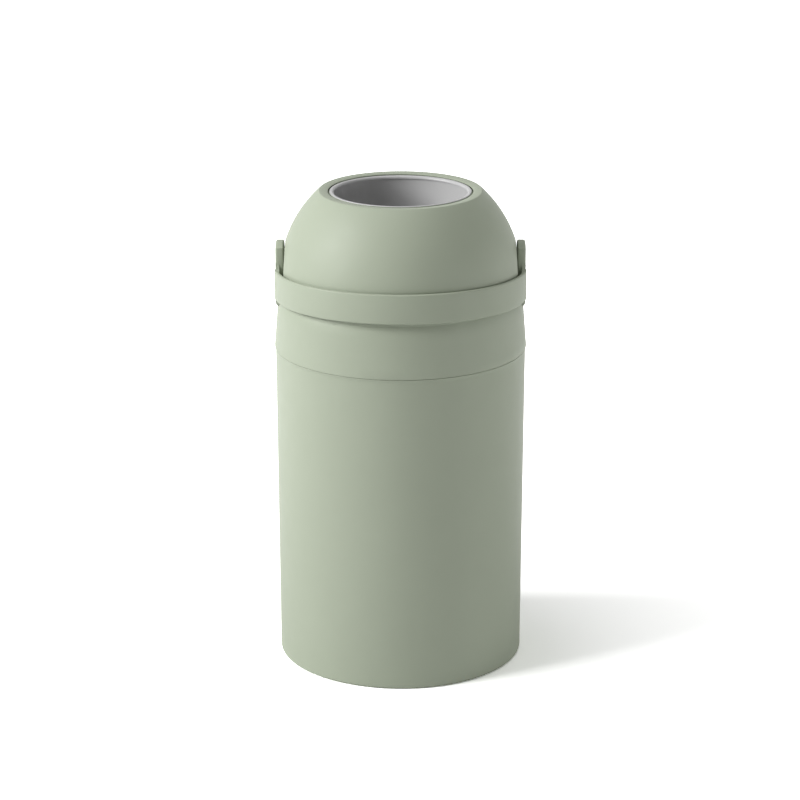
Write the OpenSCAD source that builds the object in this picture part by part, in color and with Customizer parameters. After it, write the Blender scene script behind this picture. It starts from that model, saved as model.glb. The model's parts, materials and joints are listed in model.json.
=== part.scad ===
// Nappy bin with a turning ball drum.
// The head's drum carries a straight tube with a sliding piston in it. Swinging the U handle
// over the dome turns the drum by half a turn, and the piston drops and pushes what lies in
// the tube down into the pail. +Z is up, the front faces -Y, and the origin is the middle of
// the pail's underside. Lengths are in millimetres.

/* [Overall] */
// Radius of the skirt at the seam, the widest place of the bin
seam_r = 142.5; // [118:0.5:172]
// Height of the pail's top edge
pail_h = 365; // [300:1:440]
// How much narrower the pail is at its foot than at its top
pail_taper = 2.2; // [1:0.1:6]
// Wall of the pail and the head
wall = 2.6; // [2:0.1:3.2]

/* [Pail] */
// Step in from the skirt's radius to the top of the pail's wall
pail_step = 1.2; // [0.5:0.1:2]
// Rounding of the pail's lower edge
foot_round = 3.5; // [2:0.1:6]
// Thickness of the pail's floor
floor_t = 4; // [3:0.1:6]
// Depth of the stiffening channel in the underside
channel_d = 1.4; // [0.5:0.1:1.8]
// Step in from the skirt's radius to the outside of the neck
neck_step = 5.5; // [5:0.1:8]
// Height of the neck above the pail's top edge
neck_h = 8; // [5:0.5:10]
// Thickness of the bag ring's flange
bag_flange_t = 2.6; // [2:0.1:4]
// Depth of the bag ring's skirt in the neck
bag_skirt_h = 13; // [8:0.5:20]
// How far the bag ring's flange reaches inside the neck
bag_reach = 7.5; // [4:0.5:10]

/* [Head] */
// Open line between the pail and the skirt
seam_gap = 2; // [1.5:0.1:3]
// Height of the skirt from the seam to its shoulder
skirt_h = 52; // [44:0.5:62]
// How much narrower the skirt is at its shoulder
skirt_taper = 4.3; // [3.6:0.1:5.5]
// Rounding of the shoulder
shoulder_round = 5; // [4.5:0.5:7]
// Step in from the skirt's radius to the dome
dome_inset = 6.2; // [5.5:0.1:8]
// Height of the dome's middle above the shoulder
dome_rise = 23.7; // [22:0.1:30]
// Height of the turning axis above the dome's middle
pivot_rise = 5.6; // [3:0.1:7]
// Width of the flat lip round the mouth
lip_w = 10; // [8:0.1:12]
// How far the lip slopes down to the mouth
lip_drop = 1.1; // [0.6:0.1:1.6]
// Thickness of the lip's inner edge
lip_edge = 1; // [0.8:0.1:1.6]
// Gap between the mouth and the rim ring
mouth_gap = 1.8; // [1.6:0.1:2.5]

/* [Drum] */
// Room between the dome and the ball drum
ball_room = 10.7; // [9:0.1:12]
// Wall of the ball drum
ball_wall = 2.4; // [2:0.1:3]
// Inside radius of the tube
tube_r = 75.9; // [62:0.1:84]
// Wall of the tube
tube_wall = 1.8; // [1.6:0.1:3]
// Thickness of the rim ring round the tube's end
rim_wall = 1.6; // [1.4:0.1:2.5]
// How far the rim ring's lip reaches in past the tube's wall
rim_lip = 1.2; // [1:0.1:2]
// Depth of the rim ring
rim_depth = 12; // [10:0.5:16]
// Tilt of the resting drum, front raised
drum_tilt = 0.7; // [0:0.1:0.9]
// Height of the piston
piston_h = 60; // [48:1:72]
// Radius of the piston's weight
weight_r = 46; // [38:1:54]

/* [Handle] */
// Step in from the skirt's radius to the band's outside
band_step = 0.7; // [0.5:0.1:1.2]
// Height of the handle's band
band_h = 33.2; // [27:0.1:40]
// Thickness of the handle's band
band_t = 4.4; // [3.6:0.1:4.6]
// Drop of the band's middle below the turning axis
band_drop = 10.7; // [9:0.1:12]
// Tilt of the resting handle, front raised
handle_tilt = 2.8; // [0:0.1:4]
// Radius of the tabs' round ends
tab_r = 37.1; // [33:0.1:40]
// Half the tabs' width
tab_half = 19.5; // [16:0.5:21]
// Thickness of the tabs
tab_t = 9.3; // [8:0.1:10]
// Step in from the band to the tabs' flat faces
tab_step = 1.7; // [1.5:0.1:2.2]
// Gap round the tabs in their pockets
pocket_gap = 0.9; // [0.7:0.1:1.8]
// Radius of the blend between the band's upper edge and the tab
tab_blend = 9; // [4:0.5:10]
// Radius of the blend between the band's lower edge and the tab
low_blend = 3; // [2:0.5:3.5]
// Radius of the axle's journal
axle_r = 9; // [8:0.5:10]

/* [Hinge] */
// Radius of the hinge pin
hinge_pin_r = 2.5; // [2:0.1:3]
// Radius of the hinge knuckles
knuckle_r = 6; // [5:0.1:6.5]
// Half the width of the hinge leaf
leaf_half = 16; // [13:0.5:19]
// Width of each ear of the bracket
ear_w = 12; // [9:0.5:15]

/* [Fits] */
// Radial clearance of a shaft that turns in its bush
run_clear = 0.05; // [0.02:0.01:0.1]
// Gap between pieces that seat on each other
seat_gap = 0.15; // [0.1:0.01:0.2]
// Gap between pieces that move past each other
move_gap = 0.4; // [0.35:0.05:0.6]

/* [Hidden] */
$fn = 96;
eps = 0.01;
big = 400;

sage = [0.62, 0.66, 0.58];
sage_dark = [0.50, 0.55, 0.47];
light_grey = [0.74, 0.74, 0.74];
mid_grey = [0.60, 0.60, 0.60];
dark_grey = [0.25, 0.26, 0.26];
steel = [0.72, 0.73, 0.75];
white = [0.90, 0.90, 0.88];

// Pail
pail_top_r = seam_r - pail_step;
pail_foot_r = pail_top_r - pail_taper;
neck_r = seam_r - neck_step;
neck_wall = 2.4;
neck_z = pail_h + neck_h;
channel_in = pail_foot_r * 0.42;
channel_out = pail_foot_r - 16;
channel_ribs = 12;
channel_rib_w = 3;

// Head
skirt_z = pail_h + seam_gap;
skirt_lip = 1.6;
shoulder_z = skirt_z + skirt_h;
shoulder_r = seam_r - skirt_taper;
dome_r = seam_r - dome_inset;
dome_in_r = dome_r - wall;
dome_z = shoulder_z + dome_rise;
pivot_z = dome_z + pivot_rise;

// Drum
ball_r = dome_in_r - ball_room;
ball_in_r = ball_r - ball_wall;
tube_out_r = tube_r + tube_wall;
rim_in_r = tube_out_r + seat_gap;
rim_r = rim_in_r + rim_wall;
rim_lip_r = tube_r - rim_lip;
rim_round = 0.8;
rim_in_round = 2.6;
rim_lip_t = 3.3;
drum_half = sqrt(pow(ball_r - rim_round, 2) - pow(rim_r - rim_round, 2)) + rim_round;
tube_half = drum_half - rim_lip_t - seat_gap;
rim_flange_w = 4.3;
rim_flange_t = 2.6;
rim_flange_z = sqrt(pow(ball_in_r - 0.3, 2) - pow(rim_r + rim_flange_w, 2));

// Mouth of the dome
mouth_r = rim_r + mouth_gap;
crease_r = mouth_r + lip_w;
crease_z = dome_z + sqrt(pow(dome_r, 2) - pow(crease_r, 2));
lip_z = crease_z - lip_drop;
lip_slope = lip_drop / lip_w;
lip_bevel = 2.5;

// Handle
band_out_r = seam_r - band_step;
band_in_r = band_out_r - band_t;
band_top = band_h / 2 - band_drop;
band_low = -band_h / 2 - band_drop;
tab_out_x = band_out_r - tab_step;
tab_in_x = tab_out_x - tab_t;
pocket_r = tab_r + pocket_gap;
bush_flange_t = 1.5;
pocket_x = tab_in_x - bush_flange_t - 0.6;
pocket_in_x = pocket_x - wall;

// Axles, bushes and hubs
key_half = axle_r * 2 / 3;
axle_in_x = ball_r - 25.4;
collar_x = axle_in_x + 6;
collar_t = 4;
collar_r = axle_r + 2;
journal_x = ball_r - 5.4;
axle_end_x = tab_in_x + 4.2;
hub_r = collar_r + 6;
bush_r = axle_r + 3;
bush_flange_r = bush_r + 3.5;
bush_in_x = ball_r + 1.2;
bush_hub_r = bush_r + 4;
screw_bore_r = 2.45;
axle_screw_r = 2.4;
axle_head_r = key_half + 1.5;
axle_head_t = 2.4;
axle_screw_len = 28;
cap_r = axle_head_r + 4.3;
cap_t = 1.4;
cap_in_x = tab_out_x - cap_t;

// Cradle
cradle_gap = 2.6;
cradle_r = ball_r + cradle_gap;
cradle_wall = 2.6;
flange_z = min(shoulder_z - 18, pivot_z - pocket_r - wall - 3.5);
flange_t = 2.6;
cradle_end_a = 42;
cradle_lip_a = 1.6;
lower_seal_a = 4;
flange_r = shoulder_r - 4.7;
boss_r = 4;
boss_pcr = flange_r - boss_r - 0.5;
boss_top = flange_z + 20;
boss_rib_t = 3;
boss_rib_h = 16;
boss_angles = [35, 90, 145, 215, 270, 325];
small_screw_r = 1.9;
small_head_r = 3.8;
small_head_t = 2.2;
seal_t = cradle_gap - 2 * move_gap;
upper_seal_in = crease_r + 0.5;
upper_seal_w = 7;

// Joint screws of the drum's halves
drum_boss_r = 5.5;
drum_boss_x = tube_out_r + 10.5;
drum_boss_z = ball_r * 0.44;
drum_head_y = 12;
drum_thread_h = 16;

// Piston
piston_r = tube_r - 0.6;
piston_seal_r = tube_r - 0.3;
piston_low = -tube_half + move_gap;
piston_mid = piston_low + piston_h / 2;
piston_wall = 2.2;
piston_end_t = 2.6;
piston_round = 3;
dish_r = piston_r - 9;
dish_d = 1.2;
groove_d = 2.2;
groove_h = 4;
groove_in = 7;
groove_in_r = piston_r - groove_d;
weight_t = 8;
weight_seat_w = 3;
spigot_r = 3.5;
spigot_wall = 2;
spigot_depth = 10;
post_h = piston_h / 2 - piston_end_t;
spigot_pcr = min(weight_r + 9, groove_in_r - spigot_r - spigot_wall - 0.3);
piston_ribs = 3;

// Hinge
hinge_y = seam_r + 8;
hinge_z = pail_h + 1.5;
leaf_t = 3.2;
leaf_top = hinge_z + 32;
leaf_low = hinge_z + 4.5;
leaf_screw_z = hinge_z + 26;
leaf_screw_x = 9;
bracket_t = 3.2;
bracket_top = hinge_z - 8.5;
bracket_low = hinge_z - 30;
bracket_screw_z = hinge_z - 19;
bracket_half = leaf_half + move_gap + ear_w;
bracket_screw_x = leaf_half / 2;
pin_half = bracket_half + 1.2;
pin_head_r = 4;
pin_head_t = 1.6;
pad_depth = 5;

// ---- Plane shapes ----

// Rectangle between two radii and two heights, for a revolve
module span(r0, r1, z0, z1) {
    translate([r0, z0])
        square([r1 - r0, z1 - z0]);
}

// Wedge from angle a0 to angle a1, cut off beyond the given reach
module wedge(reach, a0, a1) {
    arc = [for (i = [0:4]) reach * [cos(a0 + (a1 - a0) * i / 4), sin(a0 + (a1 - a0) * i / 4)]];
    polygon(concat([[0, 0]], arc));
}

// Concave corner in the first quadrant, tangent to both axes
module corner_fill(r) {
    difference() {
        translate([-eps, -eps])
            square(r + eps);
        translate([r, r])
            circle(r);
    }
}

// Part of a ball's shell about the origin, between two heights
module shell_arc(r_in, r_out, z0, z1) {
    intersection() {
        difference() {
            circle(r_out);
            circle(r_in);
        }
        span(0, big, z0, z1);
    }
}

// ---- Solid helpers ----

// Puts its children on the turning axis, with their Z axis pointing out to the given side
module side_axis(side) {
    translate([0, 0, pivot_z])
        rotate([0, 90 * side, 0])
            children();
}

// Disc along the turning axis between two distances from the middle
module side_disc(side, r, x0, x1) {
    side_axis(side)
        translate([0, 0, x0])
            cylinder(r = r, h = x1 - x0);
}

// Square key along the turning axis between two distances from the middle
module side_key(side, half, x0, x1) {
    side_axis(side)
        translate([-half, -half, x0])
            cube([2 * half, 2 * half, x1 - x0]);
}

// Turns its children to the drum's rest, with its front raised
module drum_pose() {
    translate([0, 0, pivot_z])
        rotate([-drum_tilt, 0, 0])
            translate([0, 0, -pivot_z])
                children();
}

// Everything within a radius of the upright middle line
module upright(r, z0, z1) {
    translate([0, 0, z0])
        cylinder(r = r, h = z1 - z0);
}

// Pan-head screw with its head's underside at the origin and its shank along +Z
module pan_screw(shank_r, shank_len, head_r, head_t) {
    difference() {
        union() {
            cylinder(r = shank_r, h = shank_len);
            translate([0, 0, -head_t])
                cylinder(r = head_r, h = head_t + eps);
        }
        translate([0, 0, -head_t - eps])
            for (a = [0, 90])
                rotate([0, 0, a])
                    translate([-head_r * 0.55, -0.45, 0])
                        cube([head_r * 1.1, 0.9, head_t * 0.5]);
    }
}

// ---- Pail ----

// Outside of the pail's wall as a filled half section, grown by the given gap
module pail_outline(gap) {
    polygon([[0, -eps], [pail_foot_r + gap, -eps], [pail_top_r + gap, pail_h], [0, pail_h]]);
}

module pail_section() {
    difference() {
        intersection() {
            polygon([[0, 0], [pail_foot_r, 0], [pail_top_r, pail_h], [0, pail_h]]);
            union() {
                span(0, big, foot_round, pail_h);
                span(0, pail_foot_r - foot_round, 0, foot_round);
                translate([pail_foot_r - foot_round, foot_round])
                    circle(foot_round);
            }
        }
        polygon([
            [-1, floor_t],
            [pail_foot_r - wall - foot_round, floor_t],
            [pail_foot_r - wall, floor_t + foot_round],
            [pail_top_r - wall, pail_h - 4 * wall],
            [neck_r - neck_wall, pail_h - wall],
            [neck_r - neck_wall, pail_h + 1],
            [-1, pail_h + 1]
        ]);
    }
    span(neck_r - neck_wall, neck_r, pail_h - wall, neck_z - neck_wall / 2);
    translate([neck_r - neck_wall / 2, neck_z - neck_wall / 2])
        circle(neck_wall / 2);
}

// Positions of the bracket's screws on the pail's rear wall
module at_bracket_screws() {
    for (x = [-bracket_screw_x, bracket_screw_x])
        translate([x, pail_top_r + bracket_t + 0.4, bracket_screw_z])
            rotate([90, 0, 0])
                children();
}

module pail_shell() {
    color(sage)
        difference() {
            union() {
                rotate_extrude()
                    pail_section();
                intersection() {
                    at_bracket_screws()
                        cylinder(r = boss_r, h = bracket_t + wall + pad_depth);
                    upright(pail_top_r - wall / 2, 0, pail_h);
                }
            }
            difference() {
                rotate_extrude()
                    span(channel_in, channel_out, -1, channel_d);
                for (i = [0:channel_ribs - 1])
                    rotate([0, 0, 360 * i / channel_ribs])
                        translate([channel_in - 1, -channel_rib_w / 2, -2])
                            cube([channel_out - channel_in + 2, channel_rib_w, channel_d + 4]);
            }
            at_bracket_screws()
                cylinder(r = small_screw_r + run_clear, h = bracket_t + wall + pad_depth - 1);
        }
}

module bag_ring() {
    flange_z0 = neck_z + seat_gap;
    skirt_r = neck_r - neck_wall - move_gap;
    color(light_grey)
        difference() {
            rotate_extrude() {
                span(skirt_r - bag_reach, neck_r - 0.6, flange_z0, flange_z0 + bag_flange_t);
                translate([neck_r - 0.6, flange_z0 + bag_flange_t / 2])
                    circle(bag_flange_t / 2);
                span(skirt_r - 2, skirt_r, neck_z - bag_skirt_h, flange_z0 + eps);
            }
            for (a = [0, 180])
                rotate([0, 0, a])
                    translate([neck_r - bag_reach - 3, 0, flange_z0 - 1])
                        cylinder(r = 9, h = bag_flange_t + 2);
        }
}

// ---- Head ----

// Everything above the shoulder and below the lip's slope, which is lowered by the given drop
module under_lip(drop) {
    polygon([
        [-1, shoulder_z - eps],
        [big, shoulder_z - eps],
        [big, lip_z + (big - mouth_r) * lip_slope - drop],
        [-1, lip_z - (mouth_r + 1) * lip_slope - drop]
    ]);
}

module head_outside() {
    difference() {
        polygon([[0, skirt_z], [seam_r, skirt_z], [shoulder_r, shoulder_z], [0, shoulder_z]]);
        translate([seam_r - skirt_lip, skirt_z + skirt_lip])
            rotate([0, 0, -90])
                difference() {
                    square(skirt_lip + 1);
                    circle(skirt_lip);
                }
    }
    translate([shoulder_r - shoulder_round, shoulder_z])
        circle(shoulder_round);
    intersection() {
        translate([0, dome_z])
            circle(dome_r);
        under_lip(0);
    }
}

module head_inside() {
    polygon([
        [-1, skirt_z - 1],
        [seam_r - wall, skirt_z - 1],
        [seam_r - wall, skirt_z],
        [shoulder_r - wall, shoulder_z],
        [-1, shoulder_z]
    ]);
    translate([shoulder_r - shoulder_round, shoulder_z])
        circle(shoulder_round - wall);
    intersection() {
        translate([0, dome_z])
            circle(dome_in_r);
        under_lip(wall);
    }
}

module head_section() {
    difference() {
        intersection() {
            head_outside();
            span(0, big, skirt_z - 1, big * 2);
        }
        head_inside();
        span(-1, mouth_r, dome_z, dome_z + dome_r);
        polygon([
            [mouth_r - 1, lip_z - 2 * wall],
            [mouth_r + lip_bevel, lip_z - 2 * wall],
            [mouth_r + lip_bevel, lip_z - wall],
            [mouth_r, lip_z - lip_edge],
            [mouth_r - 1, lip_z - lip_edge]
        ]);
    }
}

// Solid of everything inside the head's outer surface
module head_solid() {
    rotate_extrude()
        intersection() {
            head_outside();
            span(0, big, skirt_z - 1, big * 2);
        }
}

// Positions of the screws that hold the cradle
module at_cradle_screws() {
    for (a = boss_angles)
        rotate([0, 0, a])
            translate([boss_pcr, 0, 0])
                children();
}

// Screw boss of the cradle with the rib that ties it to the skirt
module cradle_boss() {
    cylinder(r = boss_r, h = boss_top - flange_z);
    translate([0, -boss_rib_t / 2, 0])
        cube([shoulder_r - wall / 3 - boss_pcr, boss_rib_t, boss_rib_h]);
}

// Positions of the hinge leaf's screws on the skirt
module at_leaf_screws() {
    for (x = [-leaf_screw_x, leaf_screw_x])
        translate([x, seam_r + leaf_t - 1.4, leaf_screw_z])
            rotate([90, 0, 0])
                children();
}

module head_shell() {
    color(sage)
        difference() {
            union() {
                rotate_extrude()
                    head_section();
                intersection() {
                    head_solid();
                    union() {
                        for (s = [-1, 1]) {
                            side_disc(s, pocket_r + wall, pocket_in_x, seam_r + 5);
                            side_disc(s, bush_hub_r, bush_in_x, pocket_x);
                        }
                        at_cradle_screws()
                            translate([0, 0, flange_z + seat_gap])
                                cradle_boss();
                        at_leaf_screws()
                            cylinder(r = boss_r, h = leaf_t + wall + pad_depth);
                    }
                }
            }
            for (s = [-1, 1]) {
                side_disc(s, pocket_r, pocket_x, seam_r + 20);
                side_disc(s, bush_r + seat_gap / 2, bush_in_x - 1, pocket_x + 1);
            }
            at_cradle_screws()
                translate([0, 0, flange_z - 1])
                    cylinder(r = small_screw_r + run_clear, h = 14);
            at_leaf_screws()
                cylinder(r = small_screw_r + run_clear, h = leaf_t + wall + pad_depth - 2.6);
        }
}

module upper_seal() {
    color(dark_grey)
        rotate_extrude()
            difference() {
                intersection() {
                    span(upper_seal_in, upper_seal_in + upper_seal_w, pivot_z, dome_z + dome_r);
                    translate([0, dome_z])
                        circle(dome_in_r - seat_gap);
                }
                translate([0, pivot_z])
                    circle(ball_r + 0.3);
            }
}

module drum_cradle() {
    color(sage_dark)
        difference() {
            rotate_extrude() {
                translate([0, pivot_z]) {
                    intersection() {
                        shell_arc(cradle_r, cradle_r + cradle_wall, -big, flange_z - pivot_z);
                        wedge(big, -cradle_end_a, 0);
                    }
                    intersection() {
                        shell_arc(ball_r + 1, cradle_r + cradle_wall, -big, 0);
                        wedge(big, -cradle_end_a, cradle_lip_a - cradle_end_a);
                    }
                }
                difference() {
                    span(flange_r - 4 * boss_r, flange_r, flange_z - flange_t, flange_z);
                    translate([0, pivot_z])
                        circle(cradle_r);
                }
            }
            at_cradle_screws()
                translate([0, 0, flange_z - 4 * flange_t])
                    cylinder(r = small_screw_r + run_clear, h = 8 * flange_t);
        }
}

module lower_seal() {
    color(dark_grey)
        rotate_extrude()
            translate([0, pivot_z])
                intersection() {
                    shell_arc(ball_r + 0.3, cradle_r - seat_gap, -big, 0);
                    wedge(big, cradle_lip_a + 0.1 - cradle_end_a, cradle_lip_a + lower_seal_a - cradle_end_a);
                }
}

module cradle_screws() {
    color(steel)
        at_cradle_screws()
            translate([0, 0, flange_z - flange_t - 0.05])
                pan_screw(small_screw_r, 12, small_head_r, small_head_t);
}

// Flanged bush in the side of the head, with the axle's running bore
module axle_bush(side) {
    color(white)
        difference() {
            union() {
                side_disc(side, bush_r, bush_in_x, pocket_x + 0.1);
                side_disc(side, bush_flange_r, pocket_x + 0.05, pocket_x + bush_flange_t);
            }
            side_disc(side, axle_r + run_clear, bush_in_x - 1, tab_in_x + 1);
        }
}

module axle_bush_left() {
    axle_bush(-1);
}

module axle_bush_right() {
    axle_bush(1);
}

// ---- Handle ----

// Handle seen from above: the band's half ring, thickened inward at the tabs
module handle_plan() {
    difference() {
        circle(band_out_r);
        difference() {
            circle(band_in_r);
            for (s = [-1, 1])
                translate([s > 0 ? tab_in_x : -band_out_r, -tab_half])
                    square([band_out_r - tab_in_x, 2 * tab_half]);
        }
    }
}

// Handle seen from the side, rearward along X and up along Y, with the pin at the origin
module handle_side() {
    intersection() {
        circle(tab_r);
        translate([-tab_half, -tab_r])
            square([2 * tab_half, 2 * tab_r]);
    }
    translate([-big, band_low])
        square([big, band_h]);
    translate([-tab_half, band_top])
        mirror([1, 0])
            corner_fill(tab_blend);
    translate([-tab_half, band_low])
        mirror([1, 0])
            mirror([0, 1])
                corner_fill(low_blend);
}

// Waste beside the tabs' flat faces, above and below the band
module tab_flats() {
    for (s = [-1, 1], z = [[band_top, tab_r + 1], [-tab_r - 1, band_low]])
        translate([s > 0 ? tab_out_x : -band_out_r - 1, -tab_half - tab_blend, z[0]])
            cube([tab_step + 1, 2 * (tab_half + tab_blend), z[1] - z[0]]);
}

// Handle in its own line, with the turning axis through the origin
module handle_blank() {
    difference() {
        intersection() {
            translate([0, 0, -tab_r - 1])
                linear_extrude(2 * tab_r + 2)
                    handle_plan();
            translate([-big / 2, 0, 0])
                rotate([90, 0, 90])
                    linear_extrude(big)
                        handle_side();
        }
        tab_flats();
    }
}

module handle() {
    color(sage)
        difference() {
            translate([0, 0, pivot_z])
                rotate([-handle_tilt, 0, 0])
                    handle_blank();
            drum_pose()
                for (s = [-1, 1]) {
                    side_key(s, key_half + run_clear, tab_in_x - 1, band_out_r + 2);
                    side_disc(s, axle_head_r + move_gap, axle_end_x - 0.1, band_out_r + 2);
                    side_disc(s, cap_r + run_clear, cap_in_x, band_out_r + 2);
                }
        }
}

// Round cap over the axle's screw, flush with the handle
module handle_cap(side) {
    color(sage)
        side_disc(side, cap_r, cap_in_x + 0.05, tab_out_x);
}

module handle_cap_left() {
    handle_cap(-1);
}

module handle_cap_right() {
    handle_cap(1);
}

// Stub axle: key and collar in the drum, journal in the bush, key in the handle
module axle(side) {
    color(mid_grey)
        drum_pose()
            difference() {
                union() {
                    side_key(side, key_half, axle_in_x, journal_x);
                    side_disc(side, collar_r, collar_x, collar_x + collar_t);
                    side_disc(side, axle_r, journal_x - eps, tab_in_x - 0.1);
                    side_key(side, key_half, tab_in_x - 0.2, axle_end_x - 0.2);
                }
                side_disc(side, screw_bore_r, axle_in_x - 1, axle_end_x + 1);
            }
}

module axle_left() {
    axle(-1);
}

module axle_right() {
    axle(1);
}

module axle_screws() {
    color(steel)
        drum_pose()
            for (s = [-1, 1])
                side_axis(s)
                    translate([0, 0, axle_end_x])
                        rotate([180, 0, 0])
                            pan_screw(axle_screw_r, axle_screw_len, axle_head_r, axle_head_t);
}

// ---- Drum ----

// Positions of the screws that join the drum's halves, at the parting plane, Z axis to the rear
module at_drum_screws() {
    for (x = [-drum_boss_x, drum_boss_x], z = [-drum_boss_z, drum_boss_z])
        translate([x, 0, pivot_z + z])
            rotate([-90, 0, 0])
                children();
}

// Half section of the space round the tube, inside a ball of the given radius
module ball_section(r) {
    intersection() {
        circle(r);
        span(rim_r + seat_gap, big, -big, big);
    }
}

// Rear half of the ball drum: wall, hub seats for the axles and screw bosses
module drum_half_blank() {
    difference() {
        union() {
            translate([0, 0, pivot_z])
                rotate_extrude(angle = 180)
                    difference() {
                        ball_section(ball_r);
                        circle(ball_in_r);
                    }
            intersection() {
                translate([0, 0, pivot_z])
                    rotate_extrude(angle = 180)
                        ball_section(ball_r - ball_wall / 2);
                union() {
                    for (s = [-1, 1])
                        side_disc(s, hub_r, axle_in_x - 2, ball_r);
                    at_drum_screws()
                        translate([0, 0, -1])
                            cylinder(r = drum_boss_r, h = ball_r);
                }
            }
        }
        for (s = [-1, 1]) {
            side_key(s, key_half + run_clear, axle_in_x - 3, journal_x);
            side_disc(s, collar_r + run_clear, collar_x - 0.1, collar_x + collar_t + 0.1);
            side_disc(s, axle_r + 0.2, journal_x - 0.1, ball_r + 1);
        }
        at_drum_screws()
            translate([0, 0, -1])
                cylinder(r = small_screw_r + run_clear, h = drum_thread_h + 2);
    }
}

module drum_shell_front() {
    color(sage_dark)
        drum_pose()
            rotate([0, 0, 180])
                drum_half_blank();
}

module drum_shell_rear() {
    color(sage_dark)
        drum_pose()
            difference() {
                drum_half_blank();
                at_drum_screws()
                    translate([0, 0, drum_head_y])
                        cylinder(r = small_head_r + move_gap, h = ball_r);
            }
}

module drum_screws() {
    color(steel)
        drum_pose()
            at_drum_screws()
                translate([0, 0, drum_head_y + 0.05])
                    rotate([180, 0, 0])
                        pan_screw(small_screw_r, drum_head_y + drum_thread_h - 1, small_head_r, small_head_t);
}

module drum_tube() {
    color(light_grey)
        drum_pose()
            translate([0, 0, pivot_z])
                rotate_extrude()
                    span(tube_r, tube_out_r, -tube_half, tube_half);
}

// Half section of the rim ring at the tube's upper end, about the pivot's level
module rim_section() {
    difference() {
        union() {
            span(rim_lip_r, rim_r, drum_half - rim_lip_t, drum_half);
            span(rim_in_r, rim_r, drum_half - rim_depth, drum_half - rim_lip_t + eps);
            span(rim_r - eps, rim_r + rim_flange_w, rim_flange_z - rim_flange_t, rim_flange_z);
        }
        translate([rim_r - rim_round, drum_half - rim_round])
            difference() {
                square(rim_round + 1);
                circle(rim_round);
            }
        translate([rim_lip_r + rim_in_round, drum_half - rim_in_round])
            rotate([0, 0, 90])
                difference() {
                    square(rim_in_round + 1);
                    circle(rim_in_round);
                }
    }
}

module rim_ring_top() {
    color(light_grey)
        drum_pose()
            translate([0, 0, pivot_z])
                rotate_extrude()
                    rim_section();
}

module rim_ring_bottom() {
    color(light_grey)
        drum_pose()
            translate([0, 0, pivot_z])
                mirror([0, 0, 1])
                    rotate_extrude()
                        rim_section();
}

// ---- Piston ----

// Half section of one of the piston's two cups, open towards the piston's middle
module piston_half_section() {
    half = piston_h / 2;
    difference() {
        union() {
            span(0, piston_r, piston_round, half);
            span(0, piston_r - piston_round, 0, piston_round + eps);
            translate([piston_r - piston_round, piston_round])
                circle(piston_round);
        }
        span(-1, groove_in_r - piston_wall, piston_end_t + dish_d, half + 1);
        span(-1, piston_r - piston_wall, groove_in + groove_h + piston_wall, half + 1);
        span(-1, dish_r, -1, dish_d);
        span(groove_in_r, piston_r + 1, groove_in, groove_in + groove_h);
    }
    span(weight_r - 2 * weight_seat_w, weight_r - weight_seat_w, piston_end_t, half - weight_t / 2 - 0.1);
}

// Positions of the posts that join the piston's cups
module at_spigots() {
    for (i = [0:piston_ribs - 1])
        rotate([0, 0, 360 * i / piston_ribs + 30])
            translate([spigot_pcr, 0, 0])
                children();
}

module piston_cup() {
    color(mid_grey)
        drum_pose()
            translate([0, 0, pivot_z + piston_low]) {
                rotate_extrude()
                    piston_half_section();
                at_spigots()
                    difference() {
                        translate([0, 0, piston_end_t])
                            cylinder(r = spigot_r + spigot_wall, h = post_h - seat_gap / 2);
                        translate([0, 0, piston_h / 2 - spigot_depth - 2])
                            cylinder(r = spigot_r + run_clear, h = spigot_depth + 4);
                    }
            }
}

module piston_lid() {
    color(mid_grey)
        drum_pose()
            translate([0, 0, pivot_z + piston_low + piston_h])
                mirror([0, 0, 1]) {
                    intersection() {
                        rotate_extrude()
                            piston_half_section();
                        upright(piston_r + 1, -1, piston_h / 2 - seat_gap / 2);
                    }
                    at_spigots()
                        translate([0, 0, piston_end_t])
                            cylinder(r = spigot_r, h = post_h + spigot_depth);
                }
}

module piston_weight() {
    color(steel)
        drum_pose()
            translate([0, 0, pivot_z + piston_mid - weight_t / 2])
                cylinder(r = weight_r, h = weight_t);
}

// Wiper ring in one of the piston's grooves, at the given height in the piston
module piston_seal(z) {
    color(dark_grey)
        drum_pose()
            translate([0, 0, pivot_z + piston_low + z])
                rotate_extrude()
                    span(groove_in_r + seat_gap, piston_seal_r, seat_gap, groove_h - seat_gap);
}

module piston_seal_upper() {
    piston_seal(piston_h - groove_in - groove_h);
}

module piston_seal_lower() {
    piston_seal(groove_in);
}

// ---- Hinge ----

// Places an outline drawn rearward and up from the pin, extruded between two X positions
module across(x0, x1) {
    translate([x0, hinge_y, hinge_z])
        rotate([90, 0, 90])
            linear_extrude(x1 - x0)
                children();
}

module hinge_bore(r) {
    across(-big / 4, big / 4)
        circle(r);
}

module hinge_bracket() {
    low = bracket_low - hinge_z;
    top = bracket_top - hinge_z;
    face = pail_top_r + bracket_t - hinge_y;
    color(sage)
        difference() {
            union() {
                across(-bracket_half, bracket_half)
                    polygon([[-pad_depth * 5, low], [face, low], [face, top], [-pad_depth * 5, top]]);
                for (x = [-bracket_half, leaf_half + move_gap])
                    across(x, x + ear_w) {
                        circle(knuckle_r);
                        polygon([
                            [face - 1, low + 8],
                            [face, low + 8],
                            [knuckle_r * 0.9, -knuckle_r * 0.44],
                            [-knuckle_r, 0],
                            [face - 1, 0]
                        ]);
                    }
            }
            rotate_extrude()
                pail_outline(seat_gap);
            upright(seam_r + 1, pail_h - eps, pail_h + big / 4);
            hinge_bore(hinge_pin_r + 0.02);
            at_bracket_screws()
                cylinder(r = small_screw_r + run_clear, h = bracket_t + wall);
        }
}

module bracket_screws() {
    color(steel)
        at_bracket_screws()
            pan_screw(small_screw_r, 8, small_head_r, small_head_t);
}

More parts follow.
